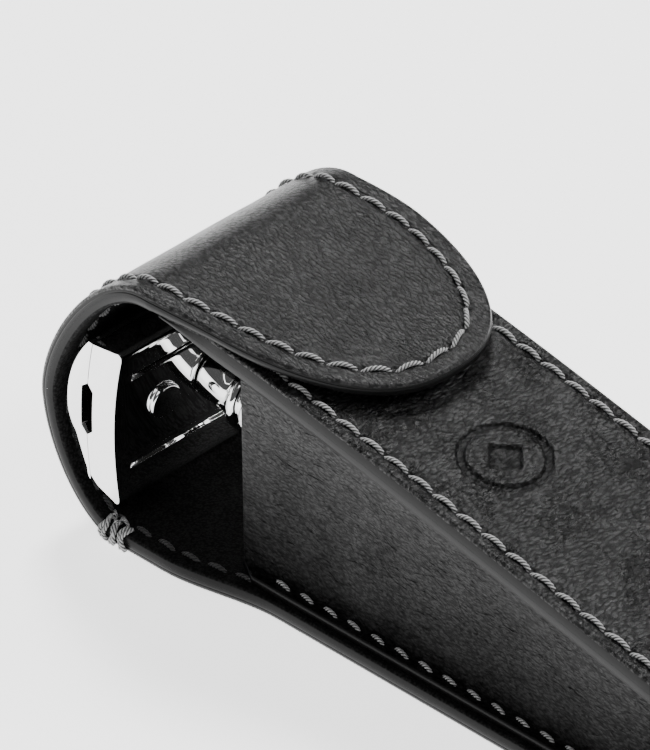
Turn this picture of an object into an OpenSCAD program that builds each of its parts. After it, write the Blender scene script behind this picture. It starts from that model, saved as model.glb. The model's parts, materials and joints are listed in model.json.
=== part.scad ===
// Leather travel case for a three-piece safety razor, lying on its back panel.
// X runs from the hood to the closed end, Y is across, Z is up.
// The origin lies on the resting surface, under the line where the hood leaves the back panel.

/* [Case] */
// Distance from the hood line to the closed end
case_len = 118; // [112:1:126]
// Half width of the hood and of the back panel beside it
hood_half_w = 20.5; // [20:0.5:23]
// Half width of the pocket
pocket_half_w = 17.5; // [17:0.5:19]
// Half width of the front panel at its mouth
mouth_half_w = 18.6; // [18:0.2:20]
// Corner radius of the closed end
end_r = 13; // [8:1:16]
// Place along X where the front panel's mouth lies
mouth_x = 12; // [11:0.5:14]
// Height of the front panel's top face at the mouth
mouth_z = 44.9; // [43.5:0.1:45.2]
// Height of the front panel's top face at the closed end
end_z = 24; // [22:0.5:28]

/* [Leather] */
// Thickness of the outer leather of the back panel
back_leather_t = 1.7; // [1.2:0.1:2.0]
// Thickness of the lining of the back panel
back_lining_t = 1.3; // [1.0:0.1:1.5]
// Thickness of the outer leather of the front panel
front_leather_t = 1.9; // [1.4:0.1:2.0]
// Thickness of the lining of the front panel
front_lining_t = 1.4; // [1.0:0.1:1.5]
// Thickness of the side wall
gusset_t = 1.5; // [1.2:0.1:1.8]
// Distance from the panels' edge to the outside of the side wall
gusset_inset = 3.4; // [3:0.1:4]

/* [Flap] */
// Distance along X from the hood line to the flap's tip
flap_tip_x = 50.4; // [46:0.2:54]
// Thickness of the flap at its tip, as a share of the hood's thickness
flap_thin = 0.72; // [0.65:0.01:1]
// How far the flap sits towards the far side
flap_drift = 1.6; // [0:0.1:1.8]
// Diameter of the hidden closing magnet
magnet_d = 10; // [8:0.5:11]

/* [Thread] */
// Diameter of the sewing thread
thread_d = 0.8; // [0.6:0.05:0.9]
// Distance from one stitch to the next
stitch_pitch = 4.8; // [4.5:0.1:6]
// Distance from the panels' edge to their row of stitches
panel_margin = 2.2; // [1.8:0.1:2.6]
// Distance from the hood's and the flap's edge to their row of stitches
flap_margin = 3.2; // [2.6:0.1:3.8]

/* [Razor] */
// Length of the razor's head, across the case
head_len = 39.4; // [38:0.2:40]
// Width of the base plate over its safety bars
plate_w = 27.6; // [25:0.2:28]
// Thickness of the base plate at its middle
plate_t = 7; // [6.4:0.1:7.2]
// Height of the cap's crown over the base plate
cap_t = 4.1; // [3.6:0.1:4.4]
// Diameter of the grip
grip_d = 11.8; // [10.5:0.1:12]
// Length of the handle from the base plate to the end of its knob
handle_len = 88; // [80:1:88]
// Slope of the razor in its case, in degrees
razor_tilt = 7; // [6.5:0.1:7]
// Place of the middle of the base plate's underside along X
head_x = 2.4; // [2:0.1:3]
// Height of the middle of the base plate's underside
head_z = 20.4; // [20.2:0.1:21]

/* [Hidden] */

// Roundness of cylinders and of turned parts
round_fn = 48;
// Heights that reach past the front panel and past the hood, for outlines that cut a layer
over_panel = 60;
over_back = 20;

// The hood's outer profile in X and Z: lower bend, upper bend and brow, as cubic curves
LOWER = [[0, 0], [-7.35, 0.63], [-13.5, 10.5], [-13.5, 20.5]];
UPPER = [[-13.5, 20.5], [-13.5, 29.4], [-1.05, 47.3], [9.45, 48.3]];
BROW = [[9.45, 48.3], [13.1, 48.6], [17.85, 47.4], [23.4, 46.6]];
// The flap's top falls this much for each millimetre past the brow
flap_fall = 0.133;
// The hood turns on the lower bend at this share of the curve, and the flap at the upper bend's end
hinge_t = 0.36;
// Gap between two pieces of leather that turn against each other, as a share of a curve
gap_t = 0.012;
// Points on each curve
curve_n = 16;
hinge_n = 6;
// The hood's share of its full thickness at the end of the upper bend
brow_share = 0.9;
// Thickness of the hood's outer leather and of its lining
hood_leather_t = 1.6;
hood_lining_t = 1.4;
hood_t = hood_leather_t + hood_lining_t;
back_t = back_leather_t + back_lining_t;
front_t = front_leather_t + front_lining_t;

// The back panel is wide beside the head and narrows to the pocket between these places
back_flare = [10, 31];
front_flare = [12, 21];
// The side wall's front edge leans from the first place, at the bottom, to the second
gusset_front = [20.8, 23.4];
// The wall's flanges reach the panels' edge this far behind the wall's front edge
flange_set_back = 6.5;

// The flap narrows from this place to its tip, as a superellipse with these powers along X and Y
flap_shoulder_x = 12;
flap_power = [2.3, 2.45];
flap_n = 20;
// The flap starts to drift at the first place and is fully over at the second
drift_from = 9;
drift_to = 24;
// The mouth's top face starts with one slope and ends with another
front_slope = [0.09, 0.225];
// The front panel has this share of its thickness at the mouth and all of it this far behind
mouth_share = 0.35;
mouth_taper = 10;
// Reach of the two ends' slopes along X
front_reach = [26, 44];

// The keeper and the magnet sit half in the leather and half in the lining
magnet_x = 40;
magnet_t = 0.8;
keeper_d = magnet_d + 1;
pocket_gap = 0.1;

// Stitches: length, height of the axis over the leather, and first and last places along X
stitch_len = stitch_pitch - 1;
stitch_lift = thread_d / 2 + 0.04;
// Straight stitches stand this much higher over the hood's bends and over the flap's brow
bend_lift = 0.22;
brow_lift = 0.12;
flap_first_stitch = 3.2;
// The back row lies this much nearer to the panel's edge than the front one
back_row_shift = 0.5;
front_stitch_x = [16, 104];
back_stitch_x = [30, 104];
tack_n = 4;
tack_x = 0.6;
tack_step = 1.15;
tack_slant = 0.7;
tack_overlap = 0.4;

// Razor: the safety bars reach past the cap on each side
bar_reach = 1.3;
bar_z = 1.3;
cap_w = plate_w - 2 * bar_reach;
cap_edge_t = 0.9;
bar_d = 1.8;
stud_d = 4.8;
stud_len = 9;
pin_d = 2.9;
pin_y = 10;
fit = 0.1;
slot_w = 9.4;
slot_h = 1.5;
slot_depth = 6;
neck_len = 9;
knob_len = 9;
neck_d = 8.4;
collar_d = 10.6;
// The stud and the pins fit tighter in the handle than in the plate
bore_fit = 0.06;
groove = 0.5;
// Corner radii of the head, seen from above
cap_corner_r = 1.6;
plate_corner_r = 1.2;
// Height of the blade bed at the plate's edge
bed_edge = 5.9;
// The plate's underside is hollow by this much at its middle, between its two bars
under_arch = 1.25;
under_half = 12;
// Corners of the plate's side: how far past the cap, and how high
plate_side = [[0.35, 4.4], [0.6, 2.2]];
// The stud and the pins reach this far into the cap, and the pins end this high in the plate
stud_in_cap = 1.5;
pin_in_cap = 1.4;
pin_end_z = 0.4;
// Heights of the neck's top, and of the corners of its waist and collar
neck_top = 0.95;
neck_waist_z = [-1.2, -2.2, -4.6, -5.8];
neck_collar_z = [-6.4, -7.6, -8.2];
neck_waist_deep = 1;
// The grip's chamfer, and the ring grooves near both of its ends
grip_chamfer = 1;
groove_from_end = 2.6;
groove_slope = 0.4;
groove_floor = 0.8;
// The knob's waist: depth, length and taper, and the round of its end
waist_deep = 1.4;
waist_len = 1.4;
waist_taper = 0.6;
knob_round = 2;

// ---- Curves ----

function bez(c, t) = c[0] * pow(1 - t, 3) + c[1] * 3 * t * pow(1 - t, 2)
    + c[2] * 3 * t * t * (1 - t) + c[3] * pow(t, 3);
function bez_dir(c, t) = (c[1] - c[0]) * pow(1 - t, 2) + (c[2] - c[1]) * 2 * t * (1 - t)
    + (c[3] - c[2]) * t * t;
// Unit normal towards the inside of the hood
function inward(v) = [v[1], -v[0]] / norm(v);
function smooth(t) = t * t * (3 - 2 * t);
function share(x, a, b) = min(1, max(0, (x - a) / (b - a)));

// A station is [point, inward normal, share of the full thickness]
function stations(c, t0, t1, k0, k1, n = curve_n) = [
    for (i = [0:n]) let (t = t0 + (t1 - t0) * i / n)
        [bez(c, t), inward(bez_dir(c, t)), k0 + (k1 - k0) * i / n]];
function layer(path, d0, d1) = concat(
    [for (s = path) s[0] + s[1] * d0 * s[2]],
    [for (i = [len(path) - 1:-1:0]) path[i][0] + path[i][1] * d1 * path[i][2]]);

// Back panel with the first stretch of the lower bend, seen from the side
back_path = concat([[[case_len, 0], [0, 1], 1]],
    [for (s = stations(LOWER, 0, hinge_t, 1, 1, hinge_n)) [s[0], [s[1][0], max(0, s[1][1])], 1]]);
hood_path = concat(stations(LOWER, hinge_t + gap_t, 1, 1, 1),
    [for (i = [1:curve_n]) let (t = (1 - gap_t) * i / curve_n)
        [bez(UPPER, t), inward(bez_dir(UPPER, t)), 1 - (1 - brow_share) * t]]);
flap_end = [flap_tip_x + 2, BROW[3][1] - flap_fall * (flap_tip_x + 2 - BROW[3][0])];
flap_path = concat(stations(BROW, 0, 1, brow_share, flap_thin),
    [[flap_end, inward([1, -flap_fall]), flap_thin]]);

// Front panel: one cubic curve with the two end slopes
front_end = [case_len, end_z];
FRONT = [[mouth_x, mouth_z], [mouth_x + front_reach[0], mouth_z - front_reach[0] * front_slope[0]],
    [case_len - front_reach[1], end_z + front_reach[1] * front_slope[1]], front_end];
front_path = [for (s = stations(FRONT, 0, 1, 1, 1)) [s[0], s[1],
    mouth_share + (1 - mouth_share) * smooth(share(s[0][0], mouth_x, mouth_x + mouth_taper))]];

// ---- Outlines seen from above ----

function half_w(x, wide, narrow, flare) =
    wide + (narrow - wide) * smooth(share(x, flare[0], flare[1]));
function mirrored(side) = concat([for (p = side) [p[0], -p[1]]],
    [for (i = [len(side) - 1:-1:0]) side[i]]);
// From x0 to the closed end, drawn in by inset
function panel_outline(x0, wide, flare, inset) =
    let (r = end_r - inset, xc = case_len - end_r, yc = pocket_half_w - end_r)
    mirrored(concat([[x0, wide - inset]],
        [for (i = [0:8]) let (x = flare[0] + (flare[1] - flare[0]) * i / 8)
            if (x > x0) [x, half_w(x, wide, pocket_half_w, flare) - inset]],
        [for (a = [90:-10:0]) [xc + r * cos(a), yc + r * sin(a)]]));
function flap_side(inset) = concat(
    [[drift_from - 1, hood_half_w - inset]],
    [for (i = [0:flap_n]) let (a = 90 * i / flap_n)
        [flap_shoulder_x + (flap_tip_x - flap_shoulder_x - inset) * pow(sin(a), 2 / flap_power[0]),
         (hood_half_w - inset) * pow(max(0, cos(a)), 2 / flap_power[1])]]);
function drift(x) = flap_drift * smooth(share(x, drift_from, drift_to));
function flap_outline(inset) = [for (p = mirrored(flap_side(inset))) [p[0], p[1] + drift(p[0])]];

// ---- Shared shapes ----

module across(outline, half) {
    rotate([90, 0, 0]) linear_extrude(2 * half, center = true) polygon(outline);
}

module upright(outline, z0, z1) {
    translate([0, 0, z0]) linear_extrude(z1 - z0) polygon(outline);
}

// A round rod from a to b
module rod(a, b, d) {
    v = b - a;
    translate(a)
        rotate([0, acos(v[2] / norm(v)), atan2(v[1], v[0])])
            cylinder(h = norm(v), d = d, $fn = 16);
}

// A disc at a place on the flap or on the front panel, square to the leather
module disc(place, normal, depth, h, d) {
    translate([place[0], 0, place[1]])
        rotate([0, atan2(-normal[0], -normal[1]), 0])
            translate([0, 0, -depth - h / 2]) cylinder(h = h, d = d, $fn = round_fn);
}

// ---- Back, front and side wall ----

module back_layer(d0, d1) {
    intersection() {
        across(layer(back_path, d0, d1), hood_half_w);
        upright(panel_outline(-over_back, hood_half_w, back_flare, 0), -1, over_back);
    }
}

module back_leather() {
    color("#1c1c1c") back_layer(0, back_leather_t);
}

module back_lining() {
    color("#2a2a2a") back_layer(back_leather_t, back_t);
}

module front_layer(d0, d1) {
    intersection() {
        across(layer(front_path, d0, d1), hood_half_w);
        upright(panel_outline(mouth_x, mouth_half_w, front_flare, 0), back_t, over_panel);
    }
}

// The keeper lies under the flap's magnet
function front_at(x) = let (t = lookup(x, [for (i = [0:40]) [bez(FRONT, i / 40)[0], i / 40]]))
    [bez(FRONT, t), inward(bez_dir(FRONT, t))];

module keeper_disc(h, d) {
    s = front_at(magnet_x - 1);
    translate([0, drift(magnet_x), 0]) disc(s[0], s[1], front_leather_t, h, d);
}

module front_leather() {
    color("#1f1f1f") difference() {
        front_layer(0, front_leather_t);
        keeper_disc(magnet_t + pocket_gap, keeper_d + pocket_gap);
    }
}

module front_lining() {
    color("#2a2a2a") difference() {
        front_layer(front_leather_t, front_t);
        keeper_disc(magnet_t + pocket_gap, keeper_d + pocket_gap);
    }
}

module panel_keeper() {
    color("silver") keeper_disc(magnet_t, keeper_d);
}

// Plan of a band along the panels' edge between two insets, open at the front
module band(inset0, inset1) {
    difference() {
        polygon(panel_outline(gusset_front[0], pocket_half_w, front_flare, inset0));
        polygon(panel_outline(gusset_front[0] - 5, pocket_half_w, front_flare, inset1));
    }
}

// The flanges' front ends are cut slanting, back towards the panels' edge
module behind_front_edge(x) {
    w = pocket_half_w - gusset_inset;
    past = w + gusset_inset + 1;
    polygon([[x, -w], [x + flange_set_back, -past], [case_len + 1, -past],
        [case_len + 1, past], [x + flange_set_back, past], [x, w]]);
}

module gusset() {
    wall_top = [for (s = front_path) s[0] + s[1] * front_t];
    wall_side = concat(
        [[case_len + 1, back_t], [gusset_front[0], back_t],
         [gusset_front[1], wall_top[2][1]]],
        [for (p = wall_top) if (p[0] > gusset_front[1]) p],
        [[case_len + 1, wall_top[curve_n][1]]]);
    color("#333333") union() {
        intersection() {
            linear_extrude(over_panel) band(gusset_inset, gusset_inset + gusset_t);
            across(wall_side, hood_half_w);
        }
        translate([0, 0, back_t]) linear_extrude(gusset_t) intersection() {
            band(0, gusset_inset + gusset_t);
            behind_front_edge(gusset_front[0]);
        }
        intersection() {
            linear_extrude(over_panel) intersection() {
                band(0, gusset_inset + gusset_t);
                behind_front_edge(gusset_front[1]);
            }
            across(layer(front_path, front_t, front_t + gusset_t), hood_half_w);
        }
    }
}

// ---- Hood and flap ----

module hood_leather() {
    color("#1c1c1c") across(layer(hood_path, 0, hood_leather_t), hood_half_w);
}

module hood_lining() {
    color("#2a2a2a") across(layer(hood_path, hood_leather_t, hood_t), hood_half_w);
}

module flap_magnet_disc(h, d) {
    n = inward([1, -flap_fall]);
    top = [magnet_x, BROW[3][1] - flap_fall * (magnet_x - BROW[3][0])];
    translate([0, drift(magnet_x), 0]) disc(top, n, hood_leather_t * flap_thin, h, d);
}

module flap_layer(d0, d1) {
    difference() {
        intersection() {
            across(layer(flap_path, d0, d1), hood_half_w + 2);
            upright(flap_outline(0), over_back, over_panel);
        }
        flap_magnet_disc(magnet_t + pocket_gap, magnet_d + pocket_gap);
    }
}

module flap_leather() {
    color("#1c1c1c") flap_layer(0, hood_leather_t);
}

module flap_lining() {
    color("#2a2a2a") flap_layer(hood_leather_t, hood_t);
}

module flap_magnet() {
    color("silver") flap_magnet_disc(magnet_t, magnet_d);
}

// ---- Thread ----

// Rows along the two long edges: height(x) comes from the panel's own path
module panel_stitches(xs, margin, top) {
    n = floor((xs[1] - xs[0]) / stitch_pitch);
    for (side = [-1, 1], i = [0:n - 1]) {
        x0 = xs[0] + i * stitch_pitch;
        x1 = x0 + stitch_len;
        y = side * (pocket_half_w - margin);
        rod([x0, y, top(x0) + stitch_lift], [x1, y, top(x1) + stitch_lift], thread_d);
    }
}

// Stitches round the closed end
module end_stitches(margin, top) {
    for (a = [-75:25:75]) {
        r = end_r - margin;
        d = stitch_len / 2;
        s = a < -10 ? -1 : (a > 10 ? 1 : 0);
        x = case_len - end_r + r * cos(a);
        y = s * (pocket_half_w - end_r) + r * sin(a);
        rod([x + d * sin(a), y - d * cos(a), top(x + d * sin(a)) + stitch_lift],
            [x - d * sin(a), y + d * cos(a), top(x - d * sin(a)) + stitch_lift], thread_d);
    }
}

module front_seam_thread() {
    top = function (x) lookup(x, [for (s = front_path) s[0]]);
    color("#6a6a6a") {
        panel_stitches(front_stitch_x, panel_margin, top);
        end_stitches(panel_margin, top);
    }
}

module back_seam_thread() {
    top = function (x) back_t + gusset_t;
    color("#6a6a6a") {
        panel_stitches(back_stitch_x, panel_margin - back_row_shift, top);
        end_stitches(panel_margin - back_row_shift, top);
    }
}

// Whipped stitches over the edge where the hood leaves the back panel
module bar_tacks() {
    y = hood_half_w + thread_d / 2 + 0.05;
    color("#6a6a6a") for (side = [-1, 1], i = [0:tack_n - 1])
        rod([tack_x + i * tack_step, side * y, thread_d / 2 + 0.1],
            [tack_x + i * tack_step + tack_slant, side * y, back_t + tack_overlap], thread_d);
}

// Rows on the outside of the hood
module hood_thread() {
    color("#6a6a6a") for (side = [-1, 1], i = [1:2:2 * curve_n - 3]) {
        a = hood_path[i];
        b = hood_path[i + 2];
        leg = b[0] - a[0];
        end_gap = max(0.08, (1 - stitch_len / norm(leg)) / 2);
        p = a[0] + leg * end_gap - a[1] * (stitch_lift + bend_lift);
        q = b[0] - leg * end_gap - b[1] * (stitch_lift + bend_lift);
        y = side * (hood_half_w - flap_margin);
        rod([p[0], y, p[1]], [q[0], y, q[1]], thread_d);
    }
}

// One row round the flap, a stitch on each leg of the inset outline
module flap_thread() {
    top_x = [for (s = flap_path) s[0]];
    row = flap_outline(flap_margin);
    leg = function (i) i < len(row) - 1 ? norm(row[i + 1] - row[i]) : 0;
    run = [for (i = 0, d = 0; i < len(row); d = d + leg(i), i = i + 1) [d, i]];
    total = run[len(run) - 1][0];
    along = function (d) let (k = lookup(d, run), i = min(len(row) - 2, floor(k)), f = k - i)
        row[i] * (1 - f) + row[i + 1] * f;
    n = floor((total - 2 * flap_first_stitch) / stitch_pitch);
    lift = stitch_lift + brow_lift;
    color("#6a6a6a") for (i = [0:n - 1]) {
        p = along(flap_first_stitch + i * stitch_pitch);
        q = along(flap_first_stitch + i * stitch_pitch + stitch_len);
        rod([p[0], p[1], lookup(p[0], top_x) + lift],
            [q[0], q[1], lookup(q[0], top_x) + lift], thread_d);
    }
}

// ---- Razor: drawn upright, head up, with its origin under the middle of the base plate ----

module in_case() {
    translate([head_x, 0, head_z]) rotate([0, razor_tilt - 90, 0]) children();
}

// Height of an arched surface over the width, and its outline
function arch(x, half, crown, edge) = edge + (crown - edge) * (1 - pow(x / half, 2));
function arch_points(half, crown, edge, n = 16) =
    [for (i = [0:n]) let (x = half * (2 * i / n - 1)) [x, arch(x, half, crown, edge)]];
function reversed(v) = [for (i = [len(v) - 1:-1:0]) v[i]];

module head_prism(outline, corner_r) {
    intersection() {
        across(outline, head_len / 2);
        // Head seen from above, with rounded corners
        translate([0, 0, -1]) linear_extrude(30) union() {
            square([plate_w, head_len - 2 * corner_r], center = true);
            square([plate_w - 2 * corner_r, head_len], center = true);
            for (sx = [-1, 1], sy = [-1, 1])
                translate([sx * (plate_w / 2 - corner_r), sy * (head_len / 2 - corner_r)])
                    circle(r = corner_r, $fn = 32);
        }
    }
}

module razor_cap() {
    half = cap_w / 2;
    top = arch_points(half, plate_t + cap_t, bed_edge + cap_edge_t);
    under = arch_points(half, plate_t + fit, bed_edge + fit);
    color("#e8e8e8") in_case() union() {
        head_prism(concat(top, reversed(under)), cap_corner_r);
        translate([0, 0, -stud_len]) cylinder(h = stud_len + plate_t + stud_in_cap, d = stud_d, $fn = round_fn);
        for (s = [-1, 1]) translate([0, s * pin_y, pin_end_z])
            cylinder(h = plate_t + pin_in_cap - pin_end_z, d = pin_d, $fn = round_fn);
    }
}

module razor_base_plate() {
    half = cap_w / 2;
    bed = arch_points(half, plate_t, bed_edge);
    under = arch_points(under_half, under_arch, 0.1);
    side = [for (p = plate_side) [half + p[0], p[1]]];
    outline = concat(bed, side, reversed(under), [for (p = reversed(side)) [-p[0], p[1]]]);
    color("#d0d0d0") in_case() difference() {
        union() {
            head_prism(outline, plate_corner_r);
            for (s = [-1, 1]) translate([s * (plate_w - bar_d) / 2, 0, bar_z]) rotate([90, 0, 0])
                cylinder(h = head_len - 2 * plate_corner_r, d = bar_d, center = true, $fn = 24);
        }
        translate([0, 0, -1]) cylinder(h = plate_t + 3, d = stud_d + 2 * fit, $fn = round_fn);
        for (s = [-1, 1]) {
            translate([0, s * pin_y, -1]) cylinder(h = plate_t + 3, d = pin_d + 2 * fit, $fn = round_fn);
            // Blade slot in each end
            translate([0, s * head_len / 2, plate_t - slot_h / 2])
                cube([slot_w, 2 * slot_depth, slot_h + 0.6], center = true);
        }
    }
}

module turned(outline) {
    rotate_extrude($fn = round_fn) polygon(outline);
}

module handle_neck() {
    bore_r = stud_d / 2 + bore_fit;
    r = neck_d / 2;
    collar_r = collar_d / 2;
    waist_r = r - neck_waist_deep;
    color("#dcdcdc") in_case() turned([[bore_r, neck_top], [r, neck_top],
        [r, neck_waist_z[0]], [waist_r, neck_waist_z[1]], [waist_r, neck_waist_z[2]], [r, neck_waist_z[3]],
        [collar_r, neck_collar_z[0]], [collar_r, neck_collar_z[1]], [r, neck_collar_z[2]],
        [r, -neck_len], [bore_r, -neck_len]]);
}

// A ring groove in the grip, from the height z down
function ring_groove(z, r) = let (low = z - groove_slope - groove_floor)
    [[r, z], [r - groove, z - groove_slope], [r - groove, low], [r, low - groove_slope]];

module handle_grip() {
    r = grip_d / 2;
    tail = handle_len - knob_len;
    color("#c4c4c4") in_case() difference() {
        turned(concat(
            [[0, -neck_len], [r - grip_chamfer, -neck_len], [r, -neck_len - grip_chamfer]],
            ring_groove(-neck_len - groove_from_end, r), ring_groove(groove_from_end - tail, r),
            [[r, -tail], [0, -tail]]));
        translate([0, 0, -stud_len - 1])
            cylinder(h = stud_len + 1, d = stud_d + 2 * bore_fit, $fn = round_fn);
    }
}

module handle_knob() {
    tail = handle_len - knob_len;
    r = grip_d / 2;
    waist_r = r - waist_deep;
    color("#dcdcdc") in_case() turned(concat(
        [[0, -tail], [waist_r, -tail], [waist_r, -tail - waist_len], [r, -tail - waist_len - waist_taper]],
        [for (a = [0:15:90]) [r - knob_round * (1 - cos(a)), knob_round * (1 - sin(a)) - handle_len]],
        [[0, -handle_len]]));
}

back_leather();
back_lining();
front_leather();
front_lining();
gusset();
front_seam_thread();
back_seam_thread();
bar_tacks();
panel_keeper();
hood_leather();
hood_lining();
hood_thread();
flap_leather();
flap_lining();
flap_thread();
flap_magnet();
razor_cap();
razor_base_plate();
handle_neck();
handle_grip();
handle_knob();
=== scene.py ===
import json
import math

import bmesh
import bpy
import numpy as np
from mathutils import Matrix, Vector, noise
from mathutils.geometry import delaunay_2d_cdt


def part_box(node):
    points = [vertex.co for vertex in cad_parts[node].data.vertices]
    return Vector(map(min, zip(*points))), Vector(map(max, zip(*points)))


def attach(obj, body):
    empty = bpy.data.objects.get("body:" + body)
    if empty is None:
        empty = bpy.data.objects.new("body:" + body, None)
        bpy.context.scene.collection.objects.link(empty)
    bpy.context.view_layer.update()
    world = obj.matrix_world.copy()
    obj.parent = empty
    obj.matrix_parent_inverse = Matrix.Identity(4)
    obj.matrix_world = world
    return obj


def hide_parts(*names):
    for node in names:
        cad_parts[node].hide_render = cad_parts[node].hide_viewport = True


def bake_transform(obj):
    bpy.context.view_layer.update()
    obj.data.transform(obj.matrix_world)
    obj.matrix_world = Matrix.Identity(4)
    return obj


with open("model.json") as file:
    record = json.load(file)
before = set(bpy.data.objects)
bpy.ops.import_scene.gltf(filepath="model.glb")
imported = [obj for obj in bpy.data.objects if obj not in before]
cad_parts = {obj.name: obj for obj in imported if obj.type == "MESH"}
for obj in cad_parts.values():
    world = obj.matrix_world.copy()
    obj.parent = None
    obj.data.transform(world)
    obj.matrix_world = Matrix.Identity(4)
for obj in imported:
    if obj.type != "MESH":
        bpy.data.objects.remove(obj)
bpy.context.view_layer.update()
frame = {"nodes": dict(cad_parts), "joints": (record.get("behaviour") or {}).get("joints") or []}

MM = 0.001


# ---------------------------------------------------------------- sizes, in millimetres

def mm_box(node):
    low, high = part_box(node)
    return np.array(low) / MM, np.array(high) / MM


BACK_HIGH = mm_box("back_leather")[1]
FRONT_LOW, FRONT_HIGH = mm_box("front_leather")
FLAP_HIGH = mm_box("flap_leather")[1]
GUSSET_HIGH = mm_box("gusset")[1]

CASE_LEN = BACK_HIGH[0]
HOOD_HALF_W = BACK_HIGH[1]
POCKET_HALF_W = GUSSET_HIGH[1]
MOUTH_HALF_W = FRONT_HIGH[1]
MOUTH_X = FRONT_LOW[0]
END_R = 13.0
BACK_LEATHER_T = 1.7
BACK_T = 3.0
FRONT_LEATHER_T = 1.9
FRONT_T = 3.3
HOOD_LEATHER_T = 1.6
HOOD_T = 3.0
GUSSET_T = 1.5
GUSSET_INSET = 3.4
BEND_R = 1.3
GUSSET_FRONT = (20.8, 23.4)
FLANGE_SET_BACK = 1.0
BACK_FLARE = (10.0, 31.0)
FRONT_FLARE = (12.0, 21.0)

# The hood's outer profile in X and Z: lower bend, upper bend and brow
LOWER = np.array([[0, 0], [-7.35, 0.63], [-13.5, 10.5], [-13.5, 20.5]])
UPPER = np.array([[-13.5, 20.5], [-13.5, 29.4], [-1.05, 47.3], [9.45, 48.3]])
BROW = np.array([[9.45, 48.3], [13.1, 48.6], [17.85, 47.4], [23.4, 46.6]])
FLAP_FALL = 0.133
FLAP_THIN = 0.72
FLAP_TIP_X = FLAP_HIGH[0]
FLAP_DRIFT = 1.6
FLAP_SHOULDER_X = 12.0
DRIFT_FROM, DRIFT_OVER = 9.0, 15.0
FLAP_POWER = (2.3, 2.45)

# The front panel's top face
MOUTH_Z = 44.9
END_Z = 24.0
FRONT_SLOPE = (0.09, 0.225)
FRONT_REACH = (26, 44)
FRONT = np.array([[MOUTH_X, MOUTH_Z], [MOUTH_X + FRONT_REACH[0], MOUTH_Z - FRONT_REACH[0] * FRONT_SLOPE[0]],
                  [CASE_LEN - FRONT_REACH[1], END_Z + FRONT_REACH[1] * FRONT_SLOPE[1]], [CASE_LEN, END_Z]])

# Stitches, and how far their rows lie from the edges
PITCH = 4.8
STITCH = 3.65
PANEL_MARGIN = 2.3
FLAP_MARGIN = 3.3

# The front panel is thinned towards its mouth
MOUTH_SHARE = 0.35
MOUTH_TAPER = 10.0

# Spacing of the fine mesh, of the one along seams and of the hidden one
FINE = 0.55
SEAM_FINE = 0.24
SEAM_REACH = 0.95
COARSE = 3.0


# ---------------------------------------------------------------- curves

def bezier(c, n):
    t = np.linspace(0, 1, n)[:, None]
    return c[0] * (1 - t) ** 3 + c[1] * 3 * t * (1 - t) ** 2 + c[2] * 3 * t * t * (1 - t) + c[3] * t ** 3


def smooth(t):
    t = np.clip(t, 0, 1)
    return t * t * (3 - 2 * t)


def lengths(points):
    """Length along a line at each of its points."""
    return np.concatenate([[0], np.cumsum(np.linalg.norm(np.diff(points, axis=0), axis=1))])


def outward(line, tangent, centre):
    """Unit normals of a line in the plane, on the side away from a centre."""
    out = np.stack([tangent[:, 1], -tangent[:, 0]], axis=1)
    out /= np.maximum(np.linalg.norm(out, axis=1), 1e-9)[:, None]
    return -out if np.mean(np.sum(out * (line - centre), axis=1)) < 0 else out


class Path:
    """A line in X and Z with its length, its inward normals and the leather's share of full thickness."""

    def __init__(self, points, thickness, start):
        self.p = points
        self.s = start + lengths(points)
        tangent = np.gradient(points, self.s, axis=0)
        tangent /= np.linalg.norm(tangent, axis=1)[:, None]
        self.n = np.stack([tangent[:, 1], -tangent[:, 0]], axis=1)
        self.k = thickness

    def at(self, s, depth):
        """Points in X and Z at length s and at a depth under the outer face."""
        x = np.interp(s, self.s, self.p[:, 0])
        z = np.interp(s, self.s, self.p[:, 1])
        nx = np.interp(s, self.s, self.n[:, 0])
        nz = np.interp(s, self.s, self.n[:, 1])
        long = np.hypot(nx, nz)
        return x + nx / long * depth, z + nz / long * depth

    def share(self, s):
        return np.interp(s, self.s, self.k)

    def s_at_x(self, x):
        """Length at a place along X, on the stretch past the hood."""
        keep = self.s > self.s[np.argmin(self.p[:, 0])]
        return np.interp(x, self.p[keep, 0], self.s[keep])


def shell_path():
    flat = np.stack([np.linspace(CASE_LEN, 0, 400), np.zeros(400)], axis=1)
    end_x = FLAP_TIP_X + 3
    end = np.array([end_x, BROW[3][1] - FLAP_FALL * (end_x - BROW[3][0])])
    tongue = BROW[3] + (end - BROW[3]) * np.linspace(0, 1, 80)[:, None]
    points = np.concatenate([flat, bezier(LOWER, 80)[1:], bezier(UPPER, 120)[1:],
                             bezier(BROW, 40)[1:], tongue[1:]])
    k = np.concatenate([np.ones(399 + 80), np.linspace(1, 0.9, 119), np.linspace(0.9, FLAP_THIN, 39),
                        np.full(79, FLAP_THIN)])
    return Path(points, k, -CASE_LEN)


def front_path():
    points = bezier(FRONT, 400)
    thin = MOUTH_SHARE + (1 - MOUTH_SHARE) * smooth((points[:, 0] - MOUTH_X) / MOUTH_TAPER)
    return Path(points, thin, 0)


SHELL = shell_path()
PANEL = front_path()
SPINE_S = SHELL.s[np.argmin(SHELL.p[:, 0])]


# ---------------------------------------------------------------- outlines, as (length along the path, Y)

def half_w(x, wide, flare):
    return wide + (POCKET_HALF_W - wide) * smooth((x - flare[0]) / (flare[1] - flare[0]))


def panel_side(x0, wide, flare, inset):
    """One side of a panel from x0 to the middle of the closed end, as X and positive Y."""
    r = END_R - inset
    corner = [(CASE_LEN - END_R + r * math.cos(a), POCKET_HALF_W - END_R + r * math.sin(a))
              for a in np.linspace(math.pi / 2, 0, 16)]
    xs = np.concatenate([[x0], np.linspace(flare[0], flare[1], 12), [60.0]])
    xs = xs[xs >= x0]
    side = [(x, half_w(x, wide, flare) - inset) for x in np.unique(xs)]
    return side + corner + [(CASE_LEN - inset, 0.0)]


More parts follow.
